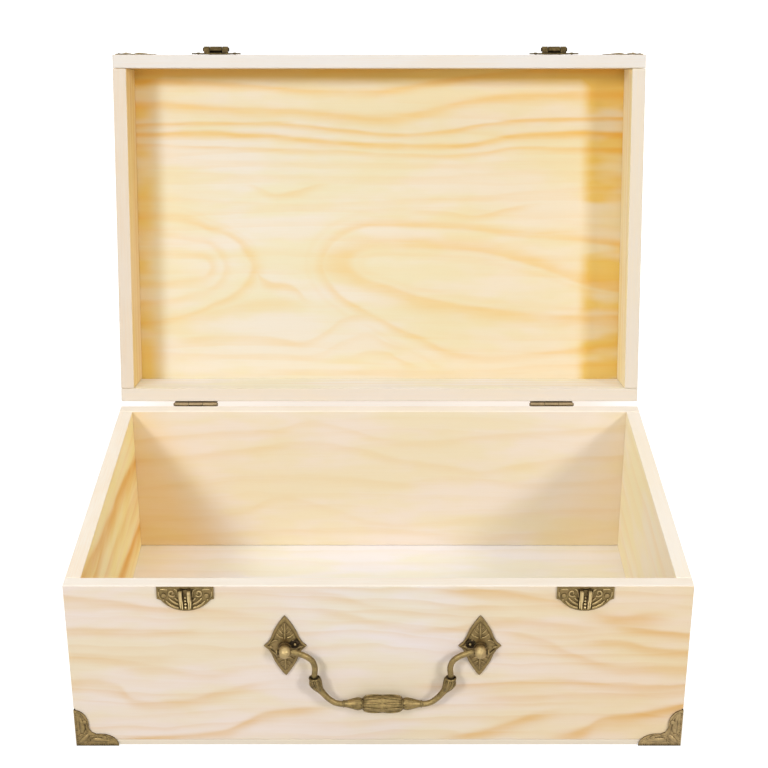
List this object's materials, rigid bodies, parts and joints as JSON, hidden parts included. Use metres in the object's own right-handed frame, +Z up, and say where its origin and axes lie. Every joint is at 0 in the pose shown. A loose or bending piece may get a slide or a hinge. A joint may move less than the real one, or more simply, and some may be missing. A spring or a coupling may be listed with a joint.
{
  "type": "hinged wooden keepsake box",
  "caption": "Open wooden keepsake box shaped like a small suitcase, with a hinged lid, fold-over latches, metal corners and a swinging carry handle.",
  "frame": {"origin": "middle of the underside of the closed part of the box, which stands on it", "axes": "+X to the right as seen from the front, +Y to the back where the hinges are, +Z up; the handle and latches are at the front, -Y"},
  "size_m": [0.3018, 0.2991, 0.2891],
  "materials": {
    "pine": "planed and sanded, unfinished",
    "antique_bronze": "aged bronze plating, satin"
  },
  "bodies": {
    "case": {"front_board": "pine", "back_board": "pine", "left_board": "pine", "right_board": "pine", "bottom_panel": "pine", "left_foot_corner": "antique_bronze", "left_catch_plate": "antique_bronze", "left_handle_plate": "antique_bronze", "left_handle_post": "antique_bronze", "left_handle_screw": "antique_bronze", "left_hinge_body_leaf": "antique_bronze", "left_hinge_pin": "antique_bronze", "left_foot_corner_nail_1": "antique_bronze", "left_catch_nail_1": "antique_bronze", "left_hinge_body_nail_1": "antique_bronze", "left_foot_corner_nail_2": "antique_bronze", "left_catch_nail_2": "antique_bronze", "left_hinge_body_nail_2": "antique_bronze", "right_foot_corner": "antique_bronze", "right_catch_plate": "antique_bronze", "right_handle_plate": "antique_bronze", "right_handle_post": "antique_bronze", "right_handle_screw": "antique_bronze", "right_hinge_body_leaf": "antique_bronze", "right_hinge_pin": "antique_bronze", "right_foot_corner_nail_1": "antique_bronze", "right_catch_nail_1": "antique_bronze", "right_hinge_body_nail_1": "antique_bronze", "right_foot_corner_nail_2": "antique_bronze", "right_catch_nail_2": "antique_bronze", "right_hinge_body_nail_2": "antique_bronze"},
    "lid": {"lid_front_board": "pine", "lid_back_board": "pine", "lid_left_board": "pine", "lid_right_board": "pine", "lid_top_panel": "pine", "left_lid_corner": "antique_bronze", "left_hasp_plate": "antique_bronze", "left_latch_pin": "antique_bronze", "left_hinge_lid_leaf": "antique_bronze", "left_lid_corner_nail_1": "antique_bronze", "left_hasp_nail_1": "antique_bronze", "left_hinge_lid_nail_1": "antique_bronze", "left_lid_corner_nail_2": "antique_bronze", "left_hasp_nail_2": "antique_bronze", "left_hinge_lid_nail_2": "antique_bronze", "right_lid_corner": "antique_bronze", "right_hasp_plate": "antique_bronze", "right_latch_pin": "antique_bronze", "right_hinge_lid_leaf": "antique_bronze", "right_lid_corner_nail_1": "antique_bronze", "right_hasp_nail_1": "antique_bronze", "right_hinge_lid_nail_1": "antique_bronze", "right_lid_corner_nail_2": "antique_bronze", "right_hasp_nail_2": "antique_bronze", "right_hinge_lid_nail_2": "antique_bronze"},
    "left_tongue": {"left_latch_tongue": "antique_bronze"},
    "right_tongue": {"right_latch_tongue": "antique_bronze"},
    "bail": {"handle_bail": "antique_bronze"}
  },
  "joints": [
    {"name": "lid_hinge", "type": "hinge", "parent": "case", "child": "lid", "pos_m": [0, 0.1008, 0.0922], "axis": [1, 0, 0], "range_deg": [0, 104.9]},
    {"name": "left_latch", "type": "hinge", "parent": "lid", "child": "left_tongue", "pos_m": [-0.0918, 0.15563, 0.28736], "axis": [1, 0, 0], "range_deg": [0, 180]},
    {"name": "right_latch", "type": "hinge", "parent": "lid", "child": "right_tongue", "pos_m": [0.0984, 0.15563, 0.28736], "axis": [1, 0, 0], "range_deg": [0, 180]},
    {"name": "handle_swing", "type": "hinge", "parent": "case", "child": "bail", "pos_m": [0.00201, -0.1055, 0.05897], "axis": [-1, 0, 0], "range_deg": [-3, 175]}
  ]
}
